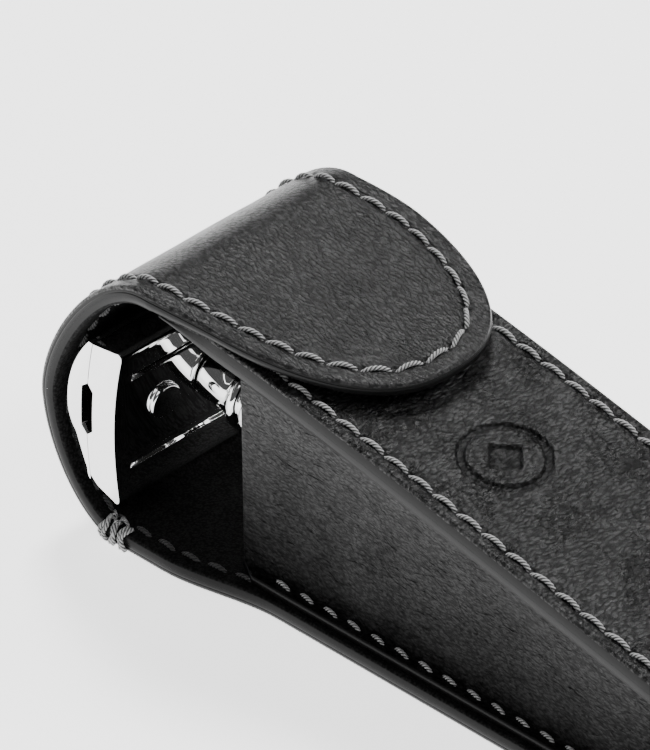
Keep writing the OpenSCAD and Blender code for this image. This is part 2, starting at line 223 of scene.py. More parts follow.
def flap_side(inset):
    side = []
    for a in np.linspace(0, math.pi / 2, 40):
        x = FLAP_SHOULDER_X + (FLAP_TIP_X - FLAP_SHOULDER_X - inset) * math.sin(a) ** (2 / FLAP_POWER[0])
        y = (HOOD_HALF_W - inset) * max(0.0, math.cos(a)) ** (2 / FLAP_POWER[1])
        side.append((x, y))
    return side


def drift(x):
    return FLAP_DRIFT * smooth((x - DRIFT_FROM) / DRIFT_OVER)


def closed(side):
    """Mirror one side over the middle line: near side first, then the far side back to its start."""
    near = [(a, -b) for a, b in side]
    far = [(a, b) for a, b in reversed(side) if b > 1e-6]
    return np.array(near + far)


def back_region(inset=0.0):
    """Back panel and the hood up to its spine: closed end first, then the spine."""
    side = [(SPINE_S, HOOD_HALF_W - inset)]
    side += [(-x, y) for x, y in panel_side(0.0, HOOD_HALF_W, BACK_FLARE, inset)]
    return closed(side)


def flap_region(inset=0.0):
    side = [(SPINE_S, HOOD_HALF_W - inset)]
    side += [(float(SHELL.s_at_x(x)), y) for x, y in flap_side(inset)]
    line = closed(side)
    x, _ = SHELL.at(line[:, 0], 0)
    line[:, 1] += np.where(line[:, 0] > SPINE_S + 5, drift(x), 0)
    return line


def front_region(inset=0.0):
    side = [(float(np.interp(x, PANEL.p[:, 0], PANEL.s)), y)
            for x, y in panel_side(MOUTH_X, MOUTH_HALF_W, FRONT_FLARE, inset)]
    return closed(side)


def resample(line, step, loop=False):
    pts = np.array(line, float)
    if loop:
        pts = np.vstack([pts, pts[:1]])
    seg = np.linalg.norm(np.diff(pts, axis=0), axis=1)
    keep = np.concatenate([[True], seg > 1e-6])
    pts = pts[keep]
    run = lengths(pts)
    n = max(2, int(round(run[-1] / step)))
    d = np.linspace(0, run[-1], n + 1)
    out = np.stack([np.interp(d, run, pts[:, i]) for i in range(pts.shape[1])], axis=1)
    return out[:-1] if loop else out


def distance(points, line):
    """Distance from each point to an open polyline."""
    best = np.full(len(points), 1e9)
    for a, b in zip(line[:-1], line[1:]):
        d = b - a
        t = np.clip(((points - a) @ d) / max(d @ d, 1e-12), 0, 1)
        best = np.minimum(best, np.linalg.norm(points - a - t[:, None] * d, axis=1))
    return best


# ---------------------------------------------------------------- materials

def new_material(name):
    mat = bpy.data.materials.new(name)
    mat.use_nodes = True
    tree = mat.node_tree
    bsdf = tree.nodes["Principled BSDF"]
    return mat, tree, bsdf


class Nodes:
    """Short calls for the few node kinds that the materials use."""

    def __init__(self, tree):
        self.tree = tree
        coord = tree.nodes.new("ShaderNodeTexCoord")
        self.coord = coord.outputs["Object"]

    def link(self, a, b):
        self.tree.links.new(a, b)

    def scaled(self, scale, turn=(0, 0, 0)):
        node = self.tree.nodes.new("ShaderNodeMapping")
        node.inputs["Scale"].default_value = scale
        node.inputs["Rotation"].default_value = turn
        self.link(self.coord, node.inputs["Vector"])
        return node.outputs["Vector"]

    def noise(self, vector, scale, detail=3.0, rough=0.55, distortion=0.0):
        node = self.tree.nodes.new("ShaderNodeTexNoise")
        node.inputs["Scale"].default_value = scale
        node.inputs["Detail"].default_value = detail
        node.inputs["Roughness"].default_value = rough
        node.inputs["Distortion"].default_value = distortion
        self.link(vector, node.inputs["Vector"])
        return node.outputs["Fac"]

    def cells(self, vector, scale, feature="DISTANCE_TO_EDGE"):
        node = self.tree.nodes.new("ShaderNodeTexVoronoi")
        node.feature = feature
        node.inputs["Scale"].default_value = scale
        self.link(vector, node.inputs["Vector"])
        return node.outputs["Distance"]

    def warp(self, vector, scale, amount):
        """Push a coordinate about by a coloured noise, so that cells and lines don't run straight."""
        node = self.tree.nodes.new("ShaderNodeTexNoise")
        node.inputs["Scale"].default_value = scale
        node.inputs["Detail"].default_value = 2.0
        self.link(vector, node.inputs["Vector"])
        add = self.tree.nodes.new("ShaderNodeVectorMath")
        add.operation = "MULTIPLY_ADD"
        add.inputs[1].default_value = (amount, amount, amount)
        self.link(node.outputs["Color"], add.inputs[0])
        self.link(vector, add.inputs[2])
        return add.outputs["Vector"]

    def ramp(self, value, stops):
        node = self.tree.nodes.new("ShaderNodeValToRGB")
        ramp = node.color_ramp
        ramp.elements[0].position, ramp.elements[0].color = stops[0][0], grey(stops[0][1])
        ramp.elements[1].position, ramp.elements[1].color = stops[-1][0], grey(stops[-1][1])
        for place, shade in stops[1:-1]:
            ramp.elements.new(place).color = grey(shade)
        self.link(value, node.inputs["Fac"])
        return node.outputs["Color"]

    def math(self, op, a, b):
        node = self.tree.nodes.new("ShaderNodeMath")
        node.operation = op
        for i, v in enumerate((a, b)):
            if isinstance(v, (int, float)):
                node.inputs[i].default_value = v
            else:
                self.link(v, node.inputs[i])
        return node.outputs[0]

    def attribute(self, key):
        node = self.tree.nodes.new("ShaderNodeAttribute")
        node.attribute_name = key
        return node.outputs["Fac"]

    def bump(self, height, depth_mm, strength=1.0, under=None):
        node = self.tree.nodes.new("ShaderNodeBump")
        node.inputs["Strength"].default_value = strength
        node.inputs["Distance"].default_value = depth_mm * MM
        self.link(height, node.inputs["Height"])
        if under is not None:
            self.link(under, node.inputs["Normal"])
        return node.outputs["Normal"]


def grey(v):
    return (v, v, v, 1) if isinstance(v, (int, float)) else (*v, 1)


def leather(name, shade, roughness, grain_mm, grain_depth, streak, coat=0.0, specular=0.3, valley=0.42):
    """Dyed leather: rounded pebbles drawn out along one direction, fine pores and light scratches.

    streak is how far the grain is drawn out along X and along Y. valley is the polish left between crowns.
    """
    mat, tree, bsdf = new_material(name)
    n = Nodes(tree)
    drawn = n.warp(n.scaled((streak[0], streak[1], 1.0), (0, 0, 0.5)), 900, 0.0005)
    pebbles = n.cells(drawn, 1 / (grain_mm * MM), "F1")
    mounds = n.ramp(pebbles, [(0.0, 1.0), (0.35, 0.8), (0.75, 0.0)])
    pores = n.noise(drawn, 1 / (0.3 * MM), 5.0, 0.7)
    soft = n.noise(n.coord, 1 / (7 * MM), 4.0, 0.55)
    scratch_at = n.warp(n.scaled((0.12, 1.0, 1.0), (0, 0, -0.6)), 200, 0.001)
    scratches = n.noise(scratch_at, 1 / (0.45 * MM), 4.0, 0.7)
    scratches = n.ramp(scratches, [(0.2, 0.0), (0.36, 1.0), (0.7, 1.0)])
    normal = n.bump(mounds, grain_depth)
    normal = n.bump(pores, grain_depth * 1.6, under=normal)
    normal = n.bump(scratches, grain_depth * 0.3, under=normal)
    n.link(normal, bsdf.inputs["Normal"])
    wear = n.attribute("border")
    hole = n.attribute("hole")
    fibres = n.noise(n.coord, 1 / (0.3 * MM), 5.0, 0.75)
    edge_tone = n.math("MULTIPLY", n.math("MULTIPLY", wear, fibres), 0.95)
    tone = n.math("ADD", n.math("MULTIPLY", mounds, soft), edge_tone)
    # Darker colour at the stitch holes and in the pressed mark: painted shade in these recesses, where the
    # face also shines less.
    tone = n.math("MULTIPLY", tone, n.math("SUBTRACT", 1.0, hole))
    colour = n.ramp(tone, [(0.0, shade * 0.2), (0.2, shade * 0.6), (0.5, shade), (0.9, shade * 2.4)])
    n.link(colour, bsdf.inputs["Base Color"])
    sheen = n.ramp(n.math("ADD", n.math("MULTIPLY", pores, 0.4), n.math("MULTIPLY", soft, 0.6)),
                   [(0.3, roughness - 0.1), (0.7, roughness + 0.12)])
    n.link(sheen, bsdf.inputs["Roughness"])
    # The crowns of the grain are polished and its valleys are matt, more so in some places
    crowns = n.ramp(n.math("MULTIPLY", mounds, pores),
                    [(0.05, valley), (0.27, 0.4 + 0.6 * valley), (0.46, 1.0)])
    places = n.math("MULTIPLY", n.math("ADD", soft, 0.05), specular * 2.9)
    shine = n.math("MULTIPLY", crowns, places)
    shine = n.math("MULTIPLY", shine, n.math("SUBTRACT", 1.0, n.math("MULTIPLY", hole, 0.85)))
    n.link(shine, bsdf.inputs["Specular IOR Level"])
    bsdf.inputs["Coat Weight"].default_value = coat
    bsdf.inputs["Coat Roughness"].default_value = 0.35
    n.link(normal, bsdf.inputs["Coat Normal"])
    return mat


def wall_leather(name, shade):
    """Softer leather of the side wall: creases over the grain, and its shine fading towards the bottom,
    which is painted shade.
    """
    mat = leather(name, shade, 0.4, 0.4, 0.07, (0.5, 1.0), specular=0.26)
    n = Nodes(mat.node_tree)
    bsdf = mat.node_tree.nodes["Principled BSDF"]
    grain = bsdf.inputs["Normal"].links[0].from_socket
    long = n.warp(n.scaled((0.5, 0.5, 1.0), (0, 0.2, 0)), 260, 0.0022)
    normal = grain
    for size_mm, width, depth in ((3.4, 0.05, 0.1), (1.4, 0.08, 0.05)):
        field_at = n.noise(long, 1 / (size_mm * MM), 2.0, 0.5)
        ridge = n.math("ABSOLUTE", n.math("SUBTRACT", field_at, 0.5), 0.0)
        normal = n.bump(n.ramp(ridge, [(0.0, 0.0), (width, 1.0)]), depth, under=normal)
    n.link(normal, bsdf.inputs["Normal"])
    # Painted shade: the shine fades towards the bottom of the wall, where the flange and the lining hide
    # the light.
    height = mat.node_tree.nodes.new("ShaderNodeSeparateXYZ")
    n.link(n.coord, height.inputs[0])
    along = n.math("MULTIPLY", height.outputs["Z"], 1 / (40 * MM))
    patches = n.math("MULTIPLY", n.noise(n.coord, 1 / (9 * MM), 3.0, 0.5), 0.35)
    polish = bsdf.inputs["Specular IOR Level"].links[0].from_socket
    lower = n.ramp(n.math("ADD", along, patches), [(0.2, 0.15), (0.55, 0.45), (1.0, 1.0)])
    n.link(n.math("MULTIPLY", polish, lower), bsdf.inputs["Specular IOR Level"])
    return mat


def edge_paint(name, shade):
    """Painted and burnished leather edge, with faint layers along it."""
    mat, tree, bsdf = new_material(name)
    n = Nodes(tree)
    streaks = n.noise(n.scaled((0.25, 0.25, 1.0)), 1 / (0.5 * MM), 4.0, 0.6)
    fine = n.noise(n.coord, 1 / (0.35 * MM), 3.0, 0.55)
    normal = n.bump(streaks, 0.006)
    normal = n.bump(fine, 0.008, under=normal)
    n.link(normal, bsdf.inputs["Normal"])
    colour = n.ramp(n.math("MULTIPLY", streaks, fine), [(0.1, shade * 0.7), (0.35, shade * 1.25)])
    n.link(colour, bsdf.inputs["Base Color"])
    bsdf.inputs["Roughness"].default_value = 0.33
    bsdf.inputs["Specular IOR Level"].default_value = 0.12
    return mat


def thread_material(name, dark, light):
    mat, tree, bsdf = new_material(name)
    n = Nodes(tree)
    fibres = n.noise(n.coord, 1 / (0.12 * MM), 4.0, 0.65)
    n.link(n.bump(fibres, 0.04), bsdf.inputs["Normal"])
    # Painted shade: the colour darkens where the strands dip towards the thread's middle, in the grooves of
    # the twist.
    groove_shade = n.ramp(n.attribute("crown"), [(0.55, 0.0), (0.95, 1.0)])
    tone = n.math("MULTIPLY", n.math("ADD", n.math("MULTIPLY", fibres, 0.8), 0.5), groove_shade)
    n.link(n.ramp(tone, [(0.0, dark * 0.12), (0.5, dark), (1.0, light)]), bsdf.inputs["Base Color"])
    bsdf.inputs["Roughness"].default_value = 0.6
    bsdf.inputs["Sheen Weight"].default_value = 0.15
    return mat


def metal(name, shade, roughness, grain):
    mat, tree, bsdf = new_material(name)
    n = Nodes(tree)
    wipe = n.noise(n.coord, 1 / (7 * MM), 3.0, 0.5)
    fine = n.noise(n.coord, 1 / (0.4 * MM), 2.0, 0.5)
    n.link(n.ramp(wipe, [(0.3, roughness * 0.7), (0.7, roughness * 1.5)]), bsdf.inputs["Roughness"])
    n.link(n.bump(fine, grain), bsdf.inputs["Normal"])
    n.link(n.ramp(wipe, [(0.3, shade * 0.97), (0.7, shade)]), bsdf.inputs["Base Color"])
    bsdf.inputs["Metallic"].default_value = 1.0
    return mat


OUTER = leather("calf_leather", 0.003, 0.3, 0.5, 0.13, (1.0, 0.55), specular=0.4, valley=0.34)
FLAP_OUTER = leather("flap_leather", 0.003, 0.32, 0.45, 0.09, (0.5, 1.0), coat=0.35, specular=0.22,
                     valley=0.18)
SUEDE = leather("lining_leather", 0.003, 0.75, 0.4, 0.05, (1.0, 1.0), specular=0.15)
WALL = wall_leather("side_wall_leather", 0.006)
EDGE = edge_paint("edge_paint", 0.006)
THREAD = thread_material("waxed_thread", 0.16, 0.6)
# A darker copy of the same thread for the rows inside the hood: painted shade.
SHADE_PAINTED_THREAD = thread_material("shaded_thread", 0.015, 0.06)
CHROME = metal("chrome", 0.92, 0.03, 0.0006)
STEEL = metal("nickel", 0.6, 0.25, 0.002)


# ---------------------------------------------------------------- meshes

SHARP = math.radians(40)


def add_object(name, verts, faces, materials, face_mats=None, values=None, bevel=None):
    """A smooth-shaded mesh in millimetres. values are kept per point; bevel rounds every sharp edge."""
    mesh = bpy.data.meshes.new(name)
    mesh.from_pydata([tuple(v) for v in np.asarray(verts) * MM], [], faces)
    for mat in materials:
        mesh.materials.append(mat)
    if face_mats is not None:
        mesh.polygons.foreach_set("material_index", face_mats)
    for key, numbers in (values or {}).items():
        layer = mesh.attributes.new(key, "FLOAT", "POINT")
        layer.data.foreach_set("value", np.asarray(numbers, np.float32))
    bm = bmesh.new()
    bm.from_mesh(mesh)
    bmesh.ops.remove_doubles(bm, verts=bm.verts, dist=1e-7)
    bmesh.ops.recalc_face_normals(bm, faces=bm.faces)
    if bevel:
        sharp = [e for e in bm.edges if len(e.link_faces) == 2 and e.calc_face_angle(0) > SHARP]
        bmesh.ops.bevel(bm, geom=sharp, offset=bevel * MM, segments=3, profile=0.5, affect="EDGES",
                        clamp_overlap=True)
    bm.to_mesh(mesh)
    bm.free()
    mesh.polygons.foreach_set("use_smooth", np.ones(len(mesh.polygons), bool))
    obj = bpy.data.objects.new(name, mesh)
    bpy.context.scene.collection.objects.link(obj)
    return obj


def tube_faces(rings, count, base=0):
    """Faces of a closed tube: rings of count points each, with both ends capped."""
    faces = []
    for i in range(rings - 1):
        for j in range(count):
            a, b = base + i * count + j, base + i * count + (j + 1) % count
            faces.append([a, b, b + count, a + count])
    faces.append([base + j for j in reversed(range(count))])
    faces.append([base + (rings - 1) * count + j for j in range(count)])
    return faces


def triangulate(boundary, inner):
    n = len(boundary)
    points = [Vector(p) for p in boundary] + [Vector(p) for p in inner]
    edges = [(i, (i + 1) % n) for i in range(n)]
    verts, _, faces, _, _, _ = delaunay_2d_cdt(points, edges, [], 1, 1e-6)
    return np.array([tuple(v) for v in verts]), [list(f) for f in faces]


def inside_points(boundary, loop, spacing, clear):
    """A staggered grid of points inside a loop, at least clear away from it."""
    low, high = boundary.min(0), boundary.max(0)
    rows = np.arange(low[0] + spacing / 2, high[0], spacing)
    cols = np.arange(low[1] + spacing / 2, high[1], spacing)
    grid = np.array([(a, b + (spacing / 2 if i % 2 else 0)) for i, a in enumerate(rows) for b in cols])
    x, y = grid[:, 0], grid[:, 1]
    inside = np.zeros(len(grid), bool)
    for (x0, y0), (x1, y1) in zip(boundary, np.roll(boundary, -1, axis=0)):
        cross = ((y0 > y) != (y1 > y)) & (x < (x1 - x0) * (y - y0) / ((y1 - y0) or 1e-12) + x0)
        inside ^= cross
    grid = grid[inside]
    return grid[distance(grid, loop) > clear]


def boundary_loop(faces):
    count = {}
    for f in faces:
        for a, b in zip(f, f[1:] + f[:1]):
            count[(a, b)] = count.get((a, b), 0) + 1
    follow = {a: b for (a, b) in count if (b, a) not in count}
    start = next(iter(follow))
    loop = [start]
    while follow[loop[-1]] != start:
        loop.append(follow[loop[-1]])
    return loop


def gap_to_lines(points, lines):
    gap = np.full(len(points), 1e9)
    for line in lines:
        gap = np.minimum(gap, distance(points, line))
    return gap


def face_points(outline, loop, fine, focus):
    """Points for a visible face: a grid, and closer ones along the lines in focus."""
    coarse = inside_points(outline, loop, fine, 0.5 + fine * 0.6)
    if not focus:
        return coarse
    close = inside_points(outline, loop, SEAM_FINE, 0.62)
    close = close[gap_to_lines(close, focus) < SEAM_REACH]
    return np.vstack([coarse[gap_to_lines(coarse, focus) > SEAM_REACH + fine * 0.4], close])


def spine_rows(outline):
    """Two rows of points beside the end at the spine, so that both pieces are shaded alike there."""
    end = outline[np.abs(outline[:, 0] - SPINE_S) < 1e-6]
    away = 1 if outline[:, 0].max() > SPINE_S + 1 else -1
    span = np.arange(end[:, 1].min() + 0.7, end[:, 1].max() - 0.5, 0.5)
    return [np.stack([np.full(len(span), SPINE_S + away * off), span], axis=1) for off in (0.08, 0.25)]


def rim_rows(path, rim, face_z, hidden_z, line_at):
    """Rows of points down a swelling edge, with a fine line in it at a share of its height."""
    tangent = np.roll(rim, -1, axis=0) - np.roll(rim, 1, axis=0)
    out = outward(rim, tangent, rim.mean(0))
    open_end = (np.abs(rim[:, 0] - SPINE_S) < 1e-6) & (path is SHELL)
    out[open_end, 0] = 0
    rows = []
    for f in (0.12, 0.27, 0.34, 0.39, 0.44, 0.6, 0.8, 1.0):
        swell = 0.14 * math.sin(math.pi / 2 * f)
        if line_at:
            swell -= 0.11 * math.exp(-((f - line_at) / 0.035) ** 2)
        p = rim + out * swell
        x, z = path.at(p[:, 0], face_z + (hidden_z - face_z) * f)
        rows.append(np.stack([x, p[:, 1], z], axis=1))
    return rows, open_end


def sheet_mesh(name, path, region, true_edge, face_depth, hidden_depth, relief, materials, round_r=0.5,
               fine=FINE, focus=(), holes=None, border=0.0, line_at=None, matt_and_shaded=None):
    """A piece of leather: a fine visible face, a rounded painted edge and a coarse hidden face.

    region(inset) gives the outline; true_edge is the part of it that is a real edge.
    face_depth and hidden_depth are depths under the path; relief(points) lifts the visible face.
    border says where the face is worn; holes and the mark's share say where it is pricked and pressed in,
    and there it shines less and is painted darker, as shade in these recesses.
    """
    outline = resample(region(0.0), 0.7, loop=True)
    loop = np.vstack([outline, outline[:1]])
    near_edge = [resample(region(off), 0.7, loop=True) for off in (0.1, 0.25, 0.5)]
    if path is SHELL:
        near_edge += spine_rows(outline)
        near_edge = [row[(np.abs(row[:, 0] - SPINE_S) < 1e-6) | (np.abs(row[:, 0] - SPINE_S) > 0.06)]
                     for row in near_edge]
    flat, faces = triangulate(outline, np.vstack(near_edge + [face_points(outline, loop, fine, focus)]))
    edge_gap = distance(flat, true_edge)
    inset = round_r - np.minimum(edge_gap, round_r)
    fall = round_r - np.sqrt(np.maximum(0, round_r ** 2 - inset ** 2))
    side = 1 if face_depth < hidden_depth else -1
    lift = relief(flat) * smooth(edge_gap / 1.2) - fall
    k = path.share(flat[:, 0])
    x, z = path.at(flat[:, 0], face_depth * k - side * lift)
    verts = np.stack([x, flat[:, 1], z], axis=1)
    mats = [0] * len(faces)
    worn = smooth((border - edge_gap) / 1.0 + 0.5) if border else np.zeros(len(flat))
    # Stitch holes and the pressed mark: they shine less, and their darker colour is painted shade in these
    # recesses.
    dull_and_shaded = np.zeros(len(flat))
    if holes is not None:
        for point in holes.reshape(-1, 2):
            gap = np.linalg.norm(flat - point, axis=1)
            dull_and_shaded = np.maximum(dull_and_shaded, np.exp(-(gap / 0.5) ** 2))
    if matt_and_shaded is not None:
        dull_and_shaded = np.maximum(dull_and_shaded, 0.5 * matt_and_shaded(flat))

    ring = boundary_loop(faces)
    rim = flat[ring]
    k_rim = path.share(rim[:, 0])
    near = face_depth * k_rim + side * fall[ring]
    rows, open_end = rim_rows(path, rim, near, hidden_depth * k_rim, line_at)
    start = len(verts)
    above = ring
    for _ in rows:
        below = list(range(start, start + len(ring)))
        start += len(ring)
        for i in range(len(ring)):
            j = (i + 1) % len(ring)
            if not (open_end[i] and open_end[j]):
                faces.append([above[i], above[j], below[j], below[i]])
                mats.append(1)
        above = below

    rim_loop = np.vstack([rim, rim[:1]])
    back_flat, back_faces = triangulate(rim, inside_points(rim, rim_loop, COARSE, 1.5))
    bx, bz = path.at(back_flat[:, 0], hidden_depth * path.share(back_flat[:, 0]))
    faces += [[v + start for v in f] for f in back_faces]
    mats += [2] * len(back_faces)
    verts = np.vstack([verts, *rows, np.stack([bx, back_flat[:, 1], bz], axis=1)])
    rest = np.zeros(len(verts) - len(flat))
    values = {"border": np.concatenate([worn, rest]), "hole": np.concatenate([dull_and_shaded, rest])}
    return add_object(name, verts, faces, materials, mats, values)


# ---------------------------------------------------------------- relief of the leather faces

def field(points, scale, seed, octaves=3):
    """Smooth noise over (length, Y), with its own wavelength in each direction."""
    return np.array([noise.fractal(Vector((a / scale[0], b / scale[1], seed)), 0.9, 2.0, octaves)
                     for a, b in points])


def stitch_row(line):
    """Ends of the stitches along a row, which is centred on its line."""
    run = lengths(line)
    gap = PITCH - STITCH
    n = int((run[-1] + gap) // PITCH)
    spare = run[-1] - n * PITCH + gap
    out = []
    for i in range(n):
        d = spare / 2 + i * PITCH
        out.append([[np.interp(v, run, line[:, k]) for k in (0, 1)] for v in (d, d + STITCH)])
    return np.array(out)


def sewn(points, rows, depth=0.2, width=0.75):
    """The channel that the thread pulls into the leather, with a pucker at each hole."""
    lift = np.zeros(len(points))
    for row in rows:
        holes = row.reshape(-1, 2)
        near = distance(points, holes)
        lift -= depth * np.exp(-(near / width) ** 2)
        close = near < 1.2
        if not close.any():
            continue
        gap = np.min(np.linalg.norm(points[close][:, None, :] - holes[None], axis=2), axis=1)
        lift[close] -= 0.45 * np.exp(-(gap / 0.45) ** 2)
    return lift


back_edge = back_region()
flap_edge = flap_region()
front_edge = np.vstack([front_region(), front_region()[:1]])

# Rows of stitches on the outside of back panel, hood and flap, and round the front panel
ROW_STEP = 0.5
back_row = resample(back_region(PANEL_MARGIN), ROW_STEP)
back_holes = stitch_row(back_row)
flap_row = resample(flap_region(FLAP_MARGIN), ROW_STEP)
flap_holes = stitch_row(flap_row)
front_row = resample(front_region(PANEL_MARGIN), ROW_STEP)
front_row = front_row[front_row[:, 0] > 2.0]
front_holes = stitch_row(front_row)

MARK_X = 64.0
MARK_AT = np.array([np.interp(MARK_X, PANEL.p[:, 0], PANEL.s), -2.5])
RING_R = 6.2
DIAMOND_R = 3.5
mark_ring = np.array([MARK_AT + (RING_R * math.cos(a), RING_R * math.sin(a))
                      for a in np.linspace(0, 2 * math.pi, 40)])
mark_diamond = np.array([MARK_AT + (3.2 * a, 3.2 * b)
                         for a, b in ((1, 0), (0, 1), (-1, 0), (0, -1), (1, 0))])


def mark_share(points):
    """1 where the mark is pressed in: a plain ring with a diamond in it."""
    d = points - MARK_AT
    ring = smooth((0.8 - np.abs(np.linalg.norm(d, axis=1) - RING_R)) / 0.4)
    return np.maximum(ring, smooth((DIAMOND_R - np.abs(d).sum(1)) / 0.5))


def pressed_mark(points):
    """Depth of the mark, with the leather swelling a little beside it."""
    d = points - MARK_AT
    swell = np.exp(-((np.linalg.norm(d, axis=1) - RING_R) / 1.9) ** 2)
    swell += np.exp(-((np.abs(d).sum(1) - DIAMOND_R) / 1.1) ** 2)
    return -0.6 * mark_share(points) + 0.16 * swell


def front_relief(points):
    lift = 0.12 * field(points, (16, 12), 1.3) + 0.035 * field(points, (3.2, 2.4), 7.7)
    return lift + sewn(points, [front_holes]) + pressed_mark(points)


def off_spine(points):
    """0 where the two pieces of the shell meet, and 1 away from there."""
    return smooth(np.abs(points[:, 0] - SPINE_S) / 7)


def flap_relief(points):
    lift = 0.10 * field(points, (15, 15), 3.1) * off_spine(points)
    zone = smooth((points[:, 0] - float(SHELL.s_at_x(12.0))) / 10)
    zone *= 0.4 + 0.6 * np.clip(0.5 + field(points, (14, 14), 12.2), 0, 1)
    folds = np.abs(field(points, (1.1, 6.5), 5.9, 2))
    lift -= 0.035 * zone * np.exp(-(folds / 0.10) ** 2)
    return lift + sewn(points, [flap_holes])


def back_relief(points):
    # The flat stretch rests on the floor, so nothing stands out of it
    lift = 0.05 * field(points, (14, 12), 9.4) * off_spine(points)
    flat = points[:, 0] < 0.0
    lift = np.where(flat, np.minimum(0, lift - 0.03), lift)
    return lift + sewn(points, [back_holes], depth=0.25)


def lining_relief(points):
    return 0.06 * field(points, (9, 7), 4.4) + 0.02 * field(points, (1.6, 1.6), 2.2)


# ---------------------------------------------------------------- threads

STRANDS = 3
STRAND_SIDES = 7
TWIST_PITCH = 1.9


def rope(points, normal_hint, radius, phase):
    """Twisted strands along a line of points: verts, faces, and how far out each vert lies."""
    pts = np.asarray(points, float)
    tangent = np.gradient(pts, axis=0)
    tangent /= np.linalg.norm(tangent, axis=1)[:, None]
    side = np.cross(tangent, normal_hint)
    side /= np.linalg.norm(side, axis=1)[:, None]
    up = np.cross(side, tangent)
    run = lengths(pts)
    verts, faces, crown = [], [], []
    strand_r = radius * 0.5
    offset = radius - strand_r
    sides = STRAND_SIDES
    for k in range(STRANDS):
        base = len(verts)
        turn = phase + 2 * math.pi * (run / TWIST_PITCH + k / STRANDS)
        centre = pts + offset * (np.cos(turn)[:, None] * side + np.sin(turn)[:, None] * up)
        for i, c in enumerate(centre):
            for j in range(sides):
                a = 2 * math.pi * j / sides
                vert = c + strand_r * (math.cos(a) * side[i] + math.sin(a) * up[i])
                verts.append(vert)
                crown.append(float(np.linalg.norm(vert - pts[i])) / radius)
        faces += tube_faces(len(pts), sides, base)
    return verts, faces, crown


class Bundle:
    """Ropes gathered into one mesh."""

    def __init__(self):
        self.verts, self.faces, self.crown = [], [], []

    def add(self, line, hint, radius, phase):
        verts, faces, crown = rope(line, hint, radius, phase)
        self.faces += [[i + len(self.verts) for i in face] for face in faces]
        self.verts += verts
        self.crown += crown

    def build(self, name, material):
        return add_object(name, self.verts, self.faces, [material], values={"crown": self.crown})


# Height of the thread's middle over the leather at a stitch's middle, and its depth at the ends
STITCH_RISE = 0.62
STITCH_DIVE = 0.8


def stitches(name, path, rows, depth, facing, seed, radius=0.38, slant=0.2, material=THREAD):
    """Every stitch dives into the leather at both ends. facing is 1 on the outer face, -1 on the inner."""
    rng = np.random.default_rng(seed)
    bundle = Bundle()
    t = np.concatenate([[-0.06, -0.02, 0.02, 0.06], np.linspace(0.1, 0.9, 19), [0.94, 0.98, 1.02, 1.06]])
    for a, b in rows:
        direction = (b - a) / np.linalg.norm(b - a)
        across = np.array([-direction[1], direction[0]])
        tilt = slant + rng.uniform(-0.05, 0.05)
        flat = a + (b - a) * t[:, None] + across * ((t - 0.5) * 2 * tilt)[:, None]
        rise = np.sin(math.pi * np.clip((t + 0.06) / 1.12, 0, 1)) ** 0.6
        high = (radius + STITCH_RISE) * rise - STITCH_DIVE
        high += rng.uniform(-0.03, 0.03)
        k = path.share(flat[:, 0])
        x, z = path.at(flat[:, 0], depth * k - facing * high)
        nx, nz = path.at(flat[:, 0], depth * k - facing * (high + 1))
        line = np.stack([x, flat[:, 1], z], axis=1)
        hint = np.stack([nx - x, np.zeros(len(x)), nz - z], axis=1)
        bundle.add(line, hint, radius, rng.uniform(0, 6.28))
    return bundle.build(name, material)


# ---------------------------------------------------------------- side wall

WALL_ROWS = 84
WALL_COLUMNS = 700
WALL_LOW = BACK_T + 0.02
SKIN_GAP = 0.02


def panel_underside():
    return PANEL.at(PANEL.s, FRONT_T)


def wall_rows():
    """The wall's section as (part, share along it), from the lower flange's tip to the upper one's."""
    rows = [("low", f) for f in np.linspace(1, 0, 5)[:-1]]
    rows += [("low_bend", f) for f in np.linspace(0, 1, 5)]
    rows += [("wall", f) for f in np.linspace(0, 1, WALL_ROWS)[1:-1]]
    rows += [("top_bend", f) for f in np.linspace(0, 1, 5)]
    return rows + [("top", f) for f in np.linspace(0, 1, 5)[1:]]


def wall_section(part, f, inside, reach, top_z):
    """Distance outwards and height of one row of the wall, on its inner or its outer face."""
    level = np.zeros(len(top_z))
    thick = GUSSET_T if inside else 0.0
    tight = np.minimum(BEND_R, reach)
    low = WALL_LOW + (0.0 if inside else GUSSET_T)
    top = top_z - (SKIN_GAP if inside else GUSSET_T)
    if part == "wall":
        bottom = WALL_LOW + GUSSET_T + BEND_R
        return level - thick, bottom + (top_z - GUSSET_T - BEND_R - bottom) * f
    if part in ("low", "top"):
        return tight * (1 - f) + reach * f, level + low if part == "low" else top
    angle = math.pi / 2 * (f if part == "low_bend" else 1 - f)
    out = tight * (1 - math.sin(angle)) - thick * math.sin(angle)
    rise = (BEND_R + thick) * (1 - math.cos(angle))
    return out, level + low + rise if part == "low_bend" else top - rise


